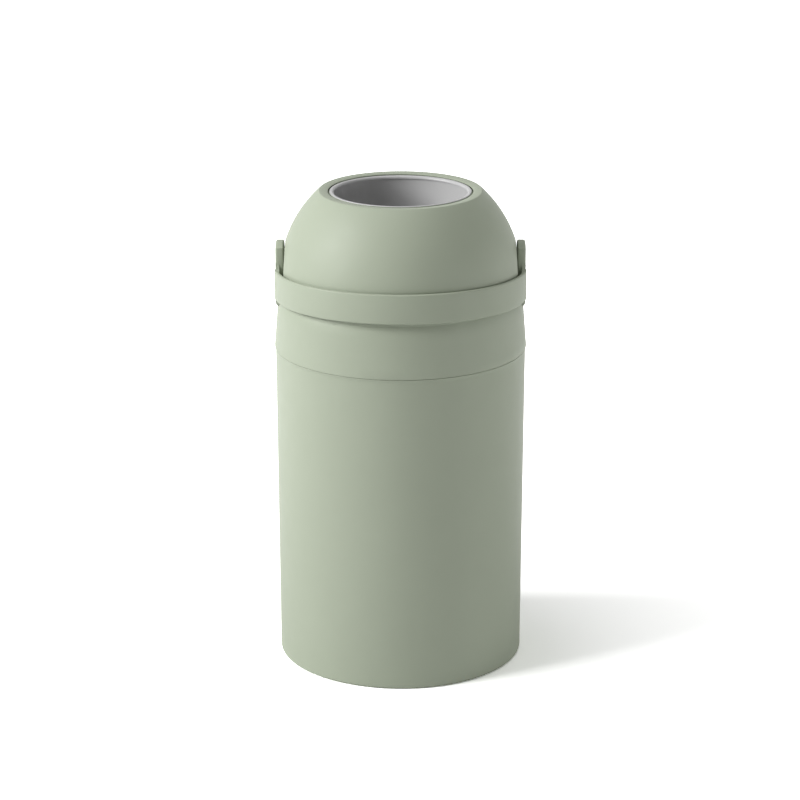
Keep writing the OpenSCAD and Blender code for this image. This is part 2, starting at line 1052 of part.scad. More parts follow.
module hinge_leaf() {
    face = seam_r + leaf_t - 1.5 - hinge_y;
    low = leaf_low - hinge_z;
    top = leaf_top - hinge_z;
    color(sage)
        difference() {
            across(-leaf_half, leaf_half) {
                circle(knuckle_r);
                polygon([
                    [-knuckle_r, 0],
                    [knuckle_r * 0.7, knuckle_r * 0.7],
                    [face, knuckle_r + 4],
                    [face, top],
                    [-pad_depth * 5, top],
                    [-pad_depth * 5, low]
                ]);
            }
            rotate_extrude()
                polygon([
                    [0, skirt_z - 20],
                    [seam_r + seat_gap, skirt_z - 20],
                    [seam_r + seat_gap, skirt_z],
                    [shoulder_r + seat_gap, shoulder_z],
                    [0, shoulder_z]
                ]);
            hinge_bore(hinge_pin_r + run_clear);
            at_leaf_screws()
                cylinder(r = small_screw_r + run_clear, h = leaf_t + wall);
        }
}

module leaf_screws() {
    color(steel)
        at_leaf_screws()
            pan_screw(small_screw_r, 8, small_head_r, small_head_t);
}

module hinge_pin() {
    color(steel) {
        across(-pin_half, pin_half)
            circle(hinge_pin_r);
        across(-pin_half - pin_head_t, -pin_half + eps)
            circle(pin_head_r);
    }
}

pail_shell();
bag_ring();
hinge_bracket();
bracket_screws();
hinge_pin();
hinge_leaf();
leaf_screws();
head_shell();
upper_seal();
drum_cradle();
lower_seal();
cradle_screws();
axle_bush_left();
axle_bush_right();
handle();
handle_cap_left();
handle_cap_right();
axle_left();
axle_right();
axle_screws();
drum_shell_front();
drum_shell_rear();
drum_screws();
drum_tube();
rim_ring_top();
rim_ring_bottom();
piston_cup();
piston_lid();
piston_weight();
piston_seal_upper();
piston_seal_lower();
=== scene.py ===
"""Finishes, studio and soft-edged shapes of the nappy bin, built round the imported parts."""

import json
import logging
import math
from collections.abc import Callable
from dataclasses import dataclass
from enum import Enum

import bmesh
import bpy
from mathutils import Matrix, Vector

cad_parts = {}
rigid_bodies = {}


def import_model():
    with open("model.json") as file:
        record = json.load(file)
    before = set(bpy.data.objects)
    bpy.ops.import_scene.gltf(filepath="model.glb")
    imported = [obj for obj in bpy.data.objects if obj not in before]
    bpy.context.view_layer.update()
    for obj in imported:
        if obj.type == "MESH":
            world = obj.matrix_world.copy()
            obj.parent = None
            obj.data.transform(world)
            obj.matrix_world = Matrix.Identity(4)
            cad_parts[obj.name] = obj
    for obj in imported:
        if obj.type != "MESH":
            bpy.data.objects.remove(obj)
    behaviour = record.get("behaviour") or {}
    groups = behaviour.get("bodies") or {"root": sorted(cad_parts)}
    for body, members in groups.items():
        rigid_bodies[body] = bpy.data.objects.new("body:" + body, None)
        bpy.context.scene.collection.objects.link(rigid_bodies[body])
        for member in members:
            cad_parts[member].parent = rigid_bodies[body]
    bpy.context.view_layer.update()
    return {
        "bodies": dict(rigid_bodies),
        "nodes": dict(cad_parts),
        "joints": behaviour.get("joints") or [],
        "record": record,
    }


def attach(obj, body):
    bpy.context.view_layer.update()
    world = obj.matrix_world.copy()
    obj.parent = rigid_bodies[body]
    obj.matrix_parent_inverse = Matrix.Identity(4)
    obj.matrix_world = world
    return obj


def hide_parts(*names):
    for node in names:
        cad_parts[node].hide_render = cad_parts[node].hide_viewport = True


LOG = logging.getLogger("nappy_bin")

Color = tuple[float, float, float]
Point = tuple[float, float, float]
Ring = tuple[float, float]
EdgeTest = Callable[[Vector, Vector], bool]

WHITE = (1.0, 1.0, 1.0, 1.0)
EVEN: Point = (1.0, 1.0, 1.0)
UP: Point = (0.0, 0.0, 1.0)
BEVEL_SHARE = "bevel_weight_edge"

# How far, in metres, a point may lie from a height, from a radius or a face, and from the
# plain profile of an outer wall, and still count as lying on it.
HEIGHT_SLACK = 0.00005
RADIUS_SLACK = 0.0001
WALL_SLACK = 0.0008
# How near, in metres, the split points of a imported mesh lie.
SPLIT_POINTS = 0.00001
# Decimals of a metre that tell two rings of points apart.
RING_DIGITS = 5


class Slot(Enum):
    """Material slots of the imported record."""

    SAGE_SHELL = "sage_shell"
    SAGE_HANDLE = "sage_handle"
    SAGE_INNER = "sage_inner"
    GREY_TUBE = "grey_tube"
    GREY_PISTON = "grey_piston"
    GREY_AXLE = "grey_axle"
    WHITE_BUSH = "white_bush"
    SEAL_RUBBER = "seal_rubber"
    SCREW_STEEL = "screw_steel"


class Side(Enum):
    """Side of the bin that a piece belongs to, seen from the front."""

    LEFT = -1
    RIGHT = 1


class Fit(Enum):
    """How one solid acts on another."""

    CUT = "DIFFERENCE"
    JOIN = "UNION"


# ---- Finishes ----


class NodeSheet:
    """A node tree of a material or the world, with short calls that add and join nodes."""

    def __init__(self, tree: bpy.types.NodeTree) -> None:
        """Takes over a node tree and empties it."""
        self.tree = tree
        self.tree.nodes.clear()

    def add(self, kind: str, **values: object) -> bpy.types.Node:
        """Adds a node and sets its properties and sockets.

        Args:
            kind: Type name of the node.
            **values: Properties of the node, or its input sockets by name with _ for a space.

        Returns:
            The new node.
        """
        node = self.tree.nodes.new(kind)
        for key, value in values.items():
            if hasattr(node, key):
                setattr(node, key, value)
            else:
                node.inputs[key.replace("_", " ")].default_value = value
        return node

    def join(self, start: bpy.types.NodeSocket, end: bpy.types.NodeSocket) -> None:
        """Links an output to an input."""
        self.tree.links.new(start, end)

    def total(self, first: bpy.types.NodeSocket,
              second: bpy.types.NodeSocket) -> bpy.types.NodeSocket:
        """Adds the light of two shaders up.

        Args:
            first: Output of the one shader.
            second: Output of the other shader.

        Returns:
            Their sum.
        """
        node = self.add("ShaderNodeAddShader")
        self.join(first, node.inputs[0])
        self.join(second, node.inputs[1])
        return node.outputs["Shader"]

    def choose(self, share: bpy.types.NodeSocket, first: bpy.types.NodeSocket,
               second: bpy.types.NodeSocket) -> bpy.types.NodeSocket:
        """Chooses between two shaders.

        Args:
            share: The choice, 0 for the first and 1 for the second.
            first: Output of the shader at 0.
            second: Output of the shader at 1.

        Returns:
            The chosen shader.
        """
        node = self.add("ShaderNodeMixShader")
        self.join(share, node.inputs["Fac"])
        self.join(first, node.inputs[1])
        self.join(second, node.inputs[2])
        return node.outputs["Shader"]

    def seen_rays(self) -> bpy.types.NodeSocket:
        """Picks the rays that see a surface, straight or in a gloss or through glass.

        Returns:
            A value that is 1 for them, and 0 for rays that light the object.
        """
        path = self.add("ShaderNodeLightPath")
        seen = path.outputs["Is Camera Ray"]
        for ray in ("Is Glossy Ray", "Is Transmission Ray"):
            either = self.add("ShaderNodeMath", operation="MAXIMUM")
            self.join(seen, either.inputs[0])
            self.join(path.outputs[ray], either.inputs[1])
            seen = either.outputs["Value"]
        return seen


class ShaderSheet(NodeSheet):
    """A new material's node tree, which starts as a principled shader."""

    def __init__(self, name: str) -> None:
        """Starts a material with only its output and a principled shader.

        Args:
            name: Name of the material.
        """
        self.material = bpy.data.materials.new(name)
        self.material.use_nodes = True
        super().__init__(self.material.node_tree)
        self.output = self.add("ShaderNodeOutputMaterial")
        self.shader = self.add("ShaderNodeBsdfPrincipled")
        self.join(self.shader.outputs["BSDF"], self.output.inputs["Surface"])

    def place(self, stretch: Point = EVEN) -> bpy.types.NodeSocket:
        """Gives the object coordinates of the shaded point.

        Args:
            stretch: Factor on each axis, which draws a pattern out along the small ones.

        Returns:
            The coordinates.
        """
        spot = self.add("ShaderNodeTexCoord").outputs["Object"]
        if stretch == EVEN:
            return spot
        mapping = self.add("ShaderNodeMapping")
        mapping.inputs["Scale"].default_value = stretch
        self.join(spot, mapping.inputs["Vector"])
        return mapping.outputs["Vector"]

    def noise(self, scale: float, detail: float = 2.0, rough: float = 0.5,
              stretch: Point = EVEN) -> bpy.types.NodeSocket:
        """Adds a noise pattern on object coordinates.

        Args:
            scale: Waves per metre.
            detail: Octaves of the pattern.
            rough: Share that each octave keeps.
            stretch: Factor on each axis of the coordinates.

        Returns:
            The pattern's value, about 0.5 in the middle.
        """
        node = self.add("ShaderNodeTexNoise", Scale=scale, Detail=detail, Roughness=rough)
        self.join(self.place(stretch), node.inputs["Vector"])
        return node.outputs["Fac"]

    def spread(self, value: bpy.types.NodeSocket, low: float, high: float,
               start: float = 0.3, end: float = 0.7) -> bpy.types.NodeSocket:
        """Spreads a pattern between two numbers.

        Args:
            value: The pattern.
            low: Number where the pattern is at start.
            high: Number where the pattern is at end.
            start: Pattern value that gives low.
            end: Pattern value that gives high.

        Returns:
            The spread value.
        """
        node = self.add("ShaderNodeMapRange")
        node.inputs["From Min"].default_value = start
        node.inputs["From Max"].default_value = end
        node.inputs["To Min"].default_value = low
        node.inputs["To Max"].default_value = high
        self.join(value, node.inputs["Value"])
        return node.outputs["Result"]

    def shade(self, value: bpy.types.NodeSocket, dark: Color,
              light: Color) -> bpy.types.NodeSocket:
        """Mixes two tones by a pattern.

        Args:
            value: The pattern, from 0 to 1.
            dark: Tone at 0.
            light: Tone at 1.

        Returns:
            The mixed colour.
        """
        mix = self.add("ShaderNodeMix", data_type="RGBA")
        tones = [s for s in mix.inputs if s.type == "RGBA"]
        tones[0].default_value = (*dark, 1.0)
        tones[1].default_value = (*light, 1.0)
        self.join(value, mix.inputs[0])
        return [s for s in mix.outputs if s.type == "RGBA"][0]

    def tint(self, value: bpy.types.NodeSocket, dark: Color, light: Color) -> None:
        """Colours the surface between two tones by a pattern."""
        self.join(self.shade(value, dark, light), self.shader.inputs["Base Color"])

    def vary_gloss(self, value: bpy.types.NodeSocket, middle: float, change: float) -> None:
        """Lets the roughness wander round a middle value.

        Args:
            value: The pattern that it follows.
            middle: Roughness in the middle.
            change: Most that it rises or falls.
        """
        gloss = self.spread(value, middle - change, middle + change)
        self.join(gloss, self.shader.inputs["Roughness"])

    def grain(self, value: bpy.types.NodeSocket, depth: float, strength: float) -> None:
        """Raises the surface by a pattern.

        Args:
            value: The pattern.
            depth: Height of the grain in metres.
            strength: Strength of the bump.
        """
        bump = self.add("ShaderNodeBump", Strength=strength, Distance=depth)
        self.join(value, bump.inputs["Height"])
        self.join(bump.outputs["Normal"], self.shader.inputs["Normal"])


@dataclass(frozen=True)
class MouldedPlastic:
    """Moulded plastic with a fine satin grain and faint flow clouds."""

    name: str
    color: Color
    mottle: float = 0.012
    cloud_scale: float = 11.0
    roughness: float = 0.5
    gloss_change: float = 0.04
    gloss_scale: float = 70.0
    grain_depth: float = 0.000012
    grain_scale: float = 1400.0
    grain_strength: float = 0.5
    specular: float = 0.28

    def build(self) -> bpy.types.Material:
        """Makes the material from its sizes.

        Returns:
            The finished material.
        """
        sheet = ShaderSheet(self.name)
        clouds = sheet.spread(sheet.noise(self.cloud_scale, detail=3.0), 0.0, 1.0)
        sheet.tint(clouds, tuple(c * (1 - self.mottle) for c in self.color),
                   tuple(c * (1 + self.mottle) for c in self.color))
        satin = sheet.noise(self.gloss_scale, detail=4.0, rough=0.6)
        sheet.vary_gloss(satin, self.roughness, self.gloss_change)
        sheet.shader.inputs["Specular IOR Level"].default_value = self.specular
        sheet.grain(sheet.noise(self.grain_scale), self.grain_depth, self.grain_strength)
        return sheet.material


@dataclass(frozen=True)
class SoftRubber:
    """Matt seal rubber, dusted a little paler in places."""

    name: str
    color: Color
    dust: float = 0.35
    dust_scale: float = 160.0
    dust_start: float = 0.45
    dust_end: float = 0.75
    roughness: float = 0.72
    gloss_change: float = 0.08
    gloss_scale: float = 45.0
    grain_depth: float = 0.00002
    grain_scale: float = 2600.0
    grain_strength: float = 0.5
    specular: float = 0.35

    def build(self) -> bpy.types.Material:
        """Makes the material from its sizes.

        Returns:
            The finished material.
        """
        sheet = ShaderSheet(self.name)
        specks = sheet.noise(self.dust_scale, detail=5.0, rough=0.65)
        dust = sheet.spread(specks, 0.0, 1.0, self.dust_start, self.dust_end)
        sheet.tint(dust, self.color, tuple(c * (1 + self.dust) for c in self.color))
        sheet.vary_gloss(sheet.noise(self.gloss_scale, detail=3.0), self.roughness,
                         self.gloss_change)
        sheet.shader.inputs["Specular IOR Level"].default_value = self.specular
        sheet.grain(sheet.noise(self.grain_scale), self.grain_depth, self.grain_strength)
        return sheet.material


@dataclass(frozen=True)
class PlatedSteel:
    """Zinc-plated steel with fine turning marks round the upright axis."""

    name: str
    color: Color
    cloud_scale: float = 240.0
    cloud_shade: float = 0.92
    roughness: float = 0.32
    gloss_change: float = 0.08
    mark_scale: float = 900.0
    mark_stretch: Point = (1.0, 1.0, 0.08)
    mark_depth: float = 0.00001
    mark_strength: float = 0.4

    def build(self) -> bpy.types.Material:
        """Makes the material from its sizes.

        Returns:
            The finished material.
        """
        sheet = ShaderSheet(self.name)
        clouds = sheet.spread(sheet.noise(self.cloud_scale, detail=4.0, rough=0.6), 0.0, 1.0)
        sheet.tint(clouds, tuple(c * self.cloud_shade for c in self.color), self.color)
        marks = sheet.noise(self.mark_scale, stretch=self.mark_stretch)
        sheet.vary_gloss(marks, self.roughness, self.gloss_change)
        sheet.shader.inputs["Metallic"].default_value = 1.0
        sheet.grain(marks, self.mark_depth, self.mark_strength)
        return sheet.material


@dataclass(frozen=True)
class StudioPaper:
    """White studio floor that shows the object's shadow and burns out to white round it."""

    name: str
    color: Color
    glow: float
    reach: tuple[float, float] = (0.17, 1.0)
    fibre_scale: float = 30.0
    fibre_shade: float = 0.997

    def build(self) -> bpy.types.Material:
        """Makes the material from its sizes.

        Rays that light the object meet plain matt paper. Rays that see the paper meet it white,
        with a glow far out, and the camera's own meet it white twice over.

        Returns:
            The finished material.
        """
        sheet = ShaderSheet(self.name)
        sheet.tree.nodes.remove(sheet.shader)
        fibres = sheet.spread(sheet.noise(self.fibre_scale, detail=3.0), 0.0, 1.0)
        tone = sheet.shade(fibres, tuple(c * self.fibre_shade for c in self.color), self.color)
        matt = sheet.add("ShaderNodeBsdfDiffuse")
        sheet.join(tone, matt.inputs["Color"])
        bright = sheet.add("ShaderNodeBsdfDiffuse", Color=WHITE).outputs["BSDF"]
        glow = sheet.add("ShaderNodeEmission")
        sheet.join(self.far_glow(sheet), glow.inputs["Strength"])
        seen = sheet.total(bright, glow.outputs["Emission"])
        mirrored = sheet.choose(sheet.seen_rays(), matt.outputs["BSDF"], seen)
        burnt = sheet.total(seen, bright)
        camera_ray = sheet.add("ShaderNodeLightPath").outputs["Is Camera Ray"]
        paper = sheet.choose(camera_ray, mirrored, burnt)
        sheet.join(paper, sheet.output.inputs["Surface"])
        return sheet.material

    def far_glow(self, sheet: ShaderSheet) -> bpy.types.NodeSocket:
        """Gives a glow that grows away from the object, so that far floor stays white.

        Args:
            sheet: The node tree to add to.

        Returns:
            The strength of the glow.
        """
        span = sheet.add("ShaderNodeVectorMath", operation="LENGTH")
        sheet.join(sheet.place(), span.inputs[0])
        return sheet.spread(span.outputs["Value"], self.glow, 1.0, *self.reach)


SAGE: Color = (0.375, 0.418, 0.325)
FINISHES: dict[Slot, MouldedPlastic | SoftRubber | PlatedSteel] = {
    Slot.SAGE_SHELL: MouldedPlastic("sage_shell", SAGE),
    Slot.SAGE_HANDLE: MouldedPlastic("sage_handle", SAGE),
    Slot.SAGE_INNER: MouldedPlastic("sage_inner", (0.235, 0.27, 0.20)),
    Slot.GREY_TUBE: MouldedPlastic("grey_tube", (0.50, 0.50, 0.50), roughness=0.34,
                                   specular=0.4),
    Slot.GREY_PISTON: MouldedPlastic("grey_piston", (0.26, 0.26, 0.26), roughness=0.4),
    Slot.GREY_AXLE: MouldedPlastic("grey_axle", (0.33, 0.33, 0.33), roughness=0.3),
    Slot.WHITE_BUSH: MouldedPlastic("white_bush", (0.72, 0.72, 0.70), roughness=0.3),
    Slot.SEAL_RUBBER: SoftRubber("seal_rubber", (0.045, 0.047, 0.047)),
    Slot.SCREW_STEEL: PlatedSteel("screw_steel", (0.62, 0.63, 0.65)),
}


class Wardrobe:
    """Builds each finish once and hands it out by its slot."""

    def __init__(self) -> None:
        """Starts with nothing built."""
        self.built: dict[Slot, bpy.types.Material] = {}

    def get(self, slot: Slot) -> bpy.types.Material:
        """Gives a slot's material, which is built the first time.

        Args:
            slot: The slot.

        Returns:
            Its material.
        """
        if slot not in self.built:
            self.built[slot] = FINISHES[slot].build()
        return self.built[slot]

    def dress(self, piece: bpy.types.Object, slot: Slot) -> None:
        """Gives a piece the slot's finish.

        Args:
            piece: The object to dress.
            slot: The slot whose finish it takes.
        """
        piece.data.materials.clear()
        piece.data.materials.append(self.get(slot))
        LOG.info("%s: %s", piece.name, slot.value)


# ---- Modelling ----


class Solid:
    """A mesh in the making, shaped by edit-mode operators and modifiers."""

    def __init__(self, name: str) -> None:
        """Takes over the active object, which a primitive or a copy has just made.

        Args:
            name: Name of the piece.
        """
        self.piece = bpy.context.object
        self.piece.name = name
        bpy.ops.object.transform_apply(location=True, rotation=True, scale=True)

    @classmethod
    def block(cls, name: str, low: Point, high: Point) -> "Solid":
        """Adds a block between two corners.

        Args:
            name: Name of the piece.
            low: Its lowest corner.
            high: Its highest corner.

        Returns:
            The new solid.
        """
        bpy.ops.object.select_all(action="DESELECT")
        middle = [(a + b) / 2 for a, b in zip(low, high)]
        sides = [b - a for a, b in zip(low, high)]
        bpy.ops.mesh.primitive_cube_add(size=1.0, location=middle, scale=sides)
        return cls(name)

    @classmethod
    def disc(cls, name: str, radius: float, start: Point, end: Point,
             sides: int = 96) -> "Solid":
        """Adds a round bar between two points.

        Args:
            name: Name of the piece.
            radius: Its radius.
            start: Middle of its first end.
            end: Middle of its other end.
            sides: Number of flats round it.

        Returns:
            The new solid.
        """
        bpy.ops.object.select_all(action="DESELECT")
        line = Vector(end) - Vector(start)
        bpy.ops.mesh.primitive_cylinder_add(
            vertices=sides, radius=radius, depth=line.length,
            location=(Vector(start) + Vector(end)) / 2,
            rotation=line.to_track_quat("Z", "Y").to_euler())
        return cls(name)

    @classmethod
    def copy_of(cls, name: str, node: bpy.types.Object) -> "Solid":
        """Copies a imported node's mesh with its split points merged.

        Args:
            name: Name of the piece.
            node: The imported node, which is left alone.

        Returns:
            The new solid.
        """
        piece = bpy.data.objects.new(name, node.data.copy())
        bpy.context.scene.collection.objects.link(piece)
        bpy.ops.object.select_all(action="DESELECT")
        piece.select_set(True)
        bpy.context.view_layer.objects.active = piece
        bpy.ops.mesh.customdata_custom_splitnormals_clear()
        copy = cls(name)
        copy.weld(SPLIT_POINTS)
        return copy

    def take(self) -> None:
        """Selects the piece alone and makes it the active one."""
        bpy.ops.object.select_all(action="DESELECT")
        self.piece.select_set(True)
        bpy.context.view_layer.objects.active = self.piece

    def edit(self) -> None:
        """Opens the piece alone in edit mode with nothing selected."""
        self.take()
        bpy.ops.object.mode_set(mode="EDIT")
        bpy.ops.mesh.select_all(action="DESELECT")

    def close(self) -> None:
        """Leaves edit mode."""
        bpy.ops.object.mode_set(mode="OBJECT")

    def keep_below(self, point: Point, normal: Point) -> None:
        """Cuts away what lies on the normal's side of a plane and closes the cut.

        Args:
            point: A point on the plane.
            normal: Direction towards the waste.
        """
        self.edit()
        bpy.ops.mesh.select_all(action="SELECT")
        bpy.ops.mesh.bisect(plane_co=point, plane_no=normal, use_fill=True, clear_outer=True)
        self.close()

    def round_edges(self, pick: EdgeTest, width: float, steps: int) -> None:
        """Bevels the edges whose two ends a test accepts.

        Args:
            pick: Test on the places of an edge's ends.
            width: Width of the rounding.
            steps: Number of its flats.
        """
        self.edit()
        bpy.ops.mesh.select_mode(type="EDGE")
        form = bmesh.from_edit_mesh(self.piece.data)
        for edge in form.edges:
            edge.select_set(pick(edge.verts[0].co, edge.verts[1].co))
        bmesh.update_edit_mesh(self.piece.data)
        bpy.ops.mesh.bevel(offset=width, offset_type="OFFSET", segments=steps, profile=0.5)
        self.close()

    def slice(self, normal: Point, places: tuple[float, ...]) -> None:
        """Cuts new edges along planes and keeps both sides of each cut.

        Args:
            normal: Direction across the planes.
            places: Distances of the planes from the origin.
        """
        self.edit()
        for place in places:
            bpy.ops.mesh.select_all(action="SELECT")
            bpy.ops.mesh.bisect(plane_co=Vector(normal) * place, plane_no=normal)
        self.close()

    def turn_profile(self, target: Callable[[float, float], Ring | None],
                     keep: Callable[[Vector], bool]) -> None:
        """Moves whole rings of points to a new radius and height.

        Args:
            target: Gives a ring's new radius and height, or None where it stays.
            keep: Accepts the points that stay although their ring moves.
        """
        self.edit()
        bpy.ops.mesh.select_mode(type="VERT")
        form = bmesh.from_edit_mesh(self.piece.data)
        rings: dict[Ring, list[int]] = {}
        for point in form.verts:
            radius = math.hypot(point.co.x, point.co.y)
            ring = (round(radius, RING_DIGITS), round(point.co.z, RING_DIGITS))
            if not keep(point.co) and target(*ring):
                rings.setdefault(ring, []).append(point.index)
        for (radius, height), members in rings.items():
            form = bmesh.from_edit_mesh(self.piece.data)
            form.verts.ensure_lookup_table()
            for index in members:
                form.verts[index].select_set(True)
            new_radius, new_height = target(radius, height)
            grow = new_radius / radius
            bpy.ops.transform.resize(value=(grow, grow, 1.0), center_override=(0.0, 0.0, height))
            bpy.ops.transform.translate(value=(0.0, 0.0, new_height - height))
            bpy.ops.mesh.select_all(action="DESELECT")
        self.close()

    def apply(self, kind: str, **values: object) -> None:
        """Adds a modifier with the given settings and applies it.

        Args:
            kind: Type name of the modifier.
            **values: Its settings.
        """
        self.take()
        step = self.piece.modifiers.new("step", kind)
        for key, value in values.items():
            setattr(step, key, value)
        bpy.ops.object.modifier_apply(modifier=step.name)

    def combine(self, tool: "Solid", fit: Fit) -> None:
        """Cuts or joins another solid and takes that one away.

        Args:
            tool: The other solid.
            fit: Whether it cuts or joins.
        """
        self.apply("BOOLEAN", operation=fit.value, solver="EXACT", object=tool.piece)
        bpy.data.objects.remove(tool.piece, do_unlink=True)

    def weld(self, distance: float) -> None:
        """Merges near points and turns the faces outwards.

        Args:
            distance: How near two points lie that become one.
        """
        self.edit()
        bpy.ops.mesh.select_all(action="SELECT")
        bpy.ops.mesh.remove_doubles(threshold=distance)
        bpy.ops.mesh.normals_make_consistent(inside=False)
        self.close()

    def soften(self, weigh: Callable[[bmesh.types.BMEdge], float], width: float,
               steps: int) -> None:
        """Rounds edges by a share of one width.

        Args:
            weigh: Gives an edge's share, from 0 to 1.
            width: Width of the rounding where the share is 1.
            steps: Number of its flats.
        """
        form = bmesh.new()
        form.from_mesh(self.piece.data)
        layers = form.edges.layers.float
        share = layers.get(BEVEL_SHARE) or layers.new(BEVEL_SHARE)
        for edge in form.edges:
            edge[share] = weigh(edge)
        form.to_mesh(self.piece.data)
        form.free()
        self.apply("BEVEL", limit_method="WEIGHT", width=width, segments=steps,
                   use_clamp_overlap=False, miter_outer="MITER_ARC", loop_slide=False)

    def smooth(self, degrees: float) -> None:
        """Shades the piece smooth, with edges sharper than the given angle left crisp."""
        self.take()
        bpy.ops.object.shade_smooth_by_angle(angle=math.radians(degrees))


def along_ring(radius: float, height: float) -> EdgeTest:
    """Gives a test for edges that lie along a level ring round the bin's axis.

    Args:
        radius: Radius of the ring.
        height: Height of the ring.

    Returns:
        The test.
    """
    return lambda a, b: all(abs(p.z - height) < HEIGHT_SLACK
                            and abs(math.hypot(p.x, p.y) - radius) < RADIUS_SLACK
                            for p in (a, b))


# ---- Sub-assemblies ----


@dataclass
class Handle:
    """The U handle over the dome: a flat band in front and a round-ended tab on each side.

    It is modelled with its turning axis through the origin and its band level.
    """

    turning_height: float = 0.4483
    tilt_degrees: float = 2.8
    band_outer: float = 0.1418
    band_inner: float = 0.1374
    band_top: float = 0.0059
    band_low: float = -0.0273
    band_flats: int = 256
    band_spare: float = 0.01
    tab_radius: float = 0.0373
    tab_half: float = 0.0195
    tab_outer: float = 0.1401
    tab_inner: float = 0.1308
    tab_flats: int = 112
    end_gap: float = 0.0006
    face_gap: float = 0.0002
    upper_blend: float = 0.009
    upper_steps: int = 12
    lower_blend: float = 0.003
    lower_steps: int = 6
    waste_reach: float = 0.2
    waste_height: float = 0.1
    waste_half: float = 0.04
    corner_slack: float = 0.001
    cap_radius: float = 0.01185
    cap_floor: float = 0.1387
    cap_end: float = 0.15
    key_half: float = 0.00605
    key_start: float = 0.125
    key_end: float = 0.139
    weld_reach: float = 0.0001
    edge_round: float = 0.0023
    edge_steps: int = 4
    inner_share: float = 0.8
    band_share: float = 0.75
    band_end: float = 0.0245
    sharp_degrees: float = 28.0
    crisp_degrees: float = 35.0

    def build(self, wardrobe: Wardrobe) -> bpy.types.Object:
        """Models the handle with its moulded edge radii.

        Args:
            wardrobe: Gives the finish.

        Returns:
            The finished piece.
        """
        body = self.ring()
        self.trim(body)
        body.weld(self.weld_reach)
        body.soften(self.band_edge, self.edge_round, self.edge_steps)
        for side in Side:
            body.combine(self.tab(side), Fit.JOIN)
        for side in Side:
            body.combine(self.cap_seat(side), Fit.CUT)
            body.combine(self.key_slot(side), Fit.CUT)
        body.smooth(self.crisp_degrees)
        self.place(body)
        wardrobe.dress(body.piece, Slot.SAGE_HANDLE)
        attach(body.piece, "drum")
        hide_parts("handle")
        return body.piece

    def ring(self) -> Solid:
        """Makes the band as a whole ring, tall enough for its blends into the tabs.

        Returns:
            The ring.
        """
        low = self.band_low - self.lower_blend
        high = self.band_top + self.upper_blend
        ring = Solid.disc("handle_skin", self.band_outer, (0, 0, low), (0, 0, high),
                          self.band_flats)
        inside = Solid.disc("waste", self.band_inner, (0, 0, low - self.band_spare),
                            (0, 0, high + self.band_spare), self.band_flats)
        ring.combine(inside, Fit.CUT)
        return ring

    def trim(self, ring: Solid) -> None:
        """Cuts the ring to its front half, with a blend up and down to each tab.

        Args:
            ring: The whole ring.
        """
        over = (self.band_top, self.waste_height)
        under = (-self.waste_height, self.band_low)
        ring.keep_below((0, self.tab_half - self.end_gap, 0), (0, 1, 0))
        ring.combine(self.front_waste(over, self.band_top, self.upper_blend, self.upper_steps),
                     Fit.CUT)
        ring.combine(self.front_waste(under, self.band_low, self.lower_blend, self.lower_steps),
                     Fit.CUT)
        for low, high in (over, under):
            for side in Side:
                ring.combine(self.side_waste(side, low, high), Fit.CUT)

    def front_waste(self, span: tuple[float, float], rim: float, blend: float,
                    steps: int) -> Solid:
        """Makes the waste above or below the band, in front of the tabs.

        Args:
            span: Its lowest and highest place.
            rim: Height of its face that leaves the band's edge.
            blend: Rounding where that face turns up or down to the tabs.
            steps: Number of the rounding's flats.

        Returns:
            The waste.
        """
        waste = Solid.block("waste", (-self.waste_reach, -self.waste_reach, span[0]),
                            (self.waste_reach, -self.tab_half, span[1]))
        waste.round_edges(lambda a, b: all(abs(p.y + self.tab_half) < self.corner_slack
                                           and abs(p.z - rim) < self.corner_slack
                                           for p in (a, b)), blend, steps)
        return waste

    def side_waste(self, side: Side, low: float, high: float) -> Solid:
        """Makes the waste of a blend that would stand out past the tab's face.

        Args:
            side: The side it is on.
            low: Its lowest place.
            high: Its highest place.

        Returns:
            The waste.
        """
        face = side.value * (self.tab_outer - self.face_gap)
        start, end = sorted((face, 2 * face))
        return Solid.block("waste", (start, -self.waste_half, low), (end, self.waste_half, high))

    def tab(self, side: Side) -> Solid:
        """Makes one tab: a slab with round ends, straight sides and moulded edges.

        Args:
            side: The side it stands on.

        Returns:
            The tab.
        """
        tab = Solid.disc("tab", self.tab_radius, (side.value * self.tab_inner, 0, 0),
                         (side.value * self.tab_outer, 0, 0), self.tab_flats)
        tab.keep_below((0, self.tab_half, 0), (0, 1, 0))
        tab.keep_below((0, -self.tab_half, 0), (0, -1, 0))
        tab.round_edges(self.across(self.tab_outer), self.edge_round, self.edge_steps)
        tab.round_edges(self.across(self.tab_inner), self.edge_round * self.inner_share,
                        self.edge_steps)
        return tab

    def cap_seat(self, side: Side) -> Solid:
        """Returns the waste of the round seat that the cap sits in."""
        return Solid.disc("waste", self.cap_radius, (side.value * self.cap_floor, 0, 0),
                          (side.value * self.cap_end, 0, 0))

    def key_slot(self, side: Side) -> Solid:
        """Makes the waste of the square hole for the axle's key.

        Args:
            side: The side it is on.

        Returns:
            The waste.
        """
        start, end = sorted((side.value * self.key_start, side.value * self.key_end))
        return Solid.block("waste", (start, -self.key_half, -self.key_half),
                           (end, self.key_half, self.key_half))

    def band_edge(self, edge: bmesh.types.BMEdge) -> float:
        """Gives the share of the full rounding that an edge of the band takes.

        Args:
            edge: An edge of the sharp band.

        Returns:
            0 for flat and hollow edges and those at the tabs, else the band's share.
        """
        if len(edge.link_faces) != 2:
            return 0.0
        if edge.calc_face_angle_signed(0.0) < math.radians(self.sharp_degrees):
            return 0.0
        return 0.0 if max(v.co.y for v in edge.verts) > -self.band_end else self.band_share

    @staticmethod
    def across(distance: float) -> EdgeTest:
        """Returns a test for edges in the two upright planes at a distance from the middle."""
        return lambda a, b: all(abs(abs(p.x) - distance) < RADIUS_SLACK for p in (a, b))

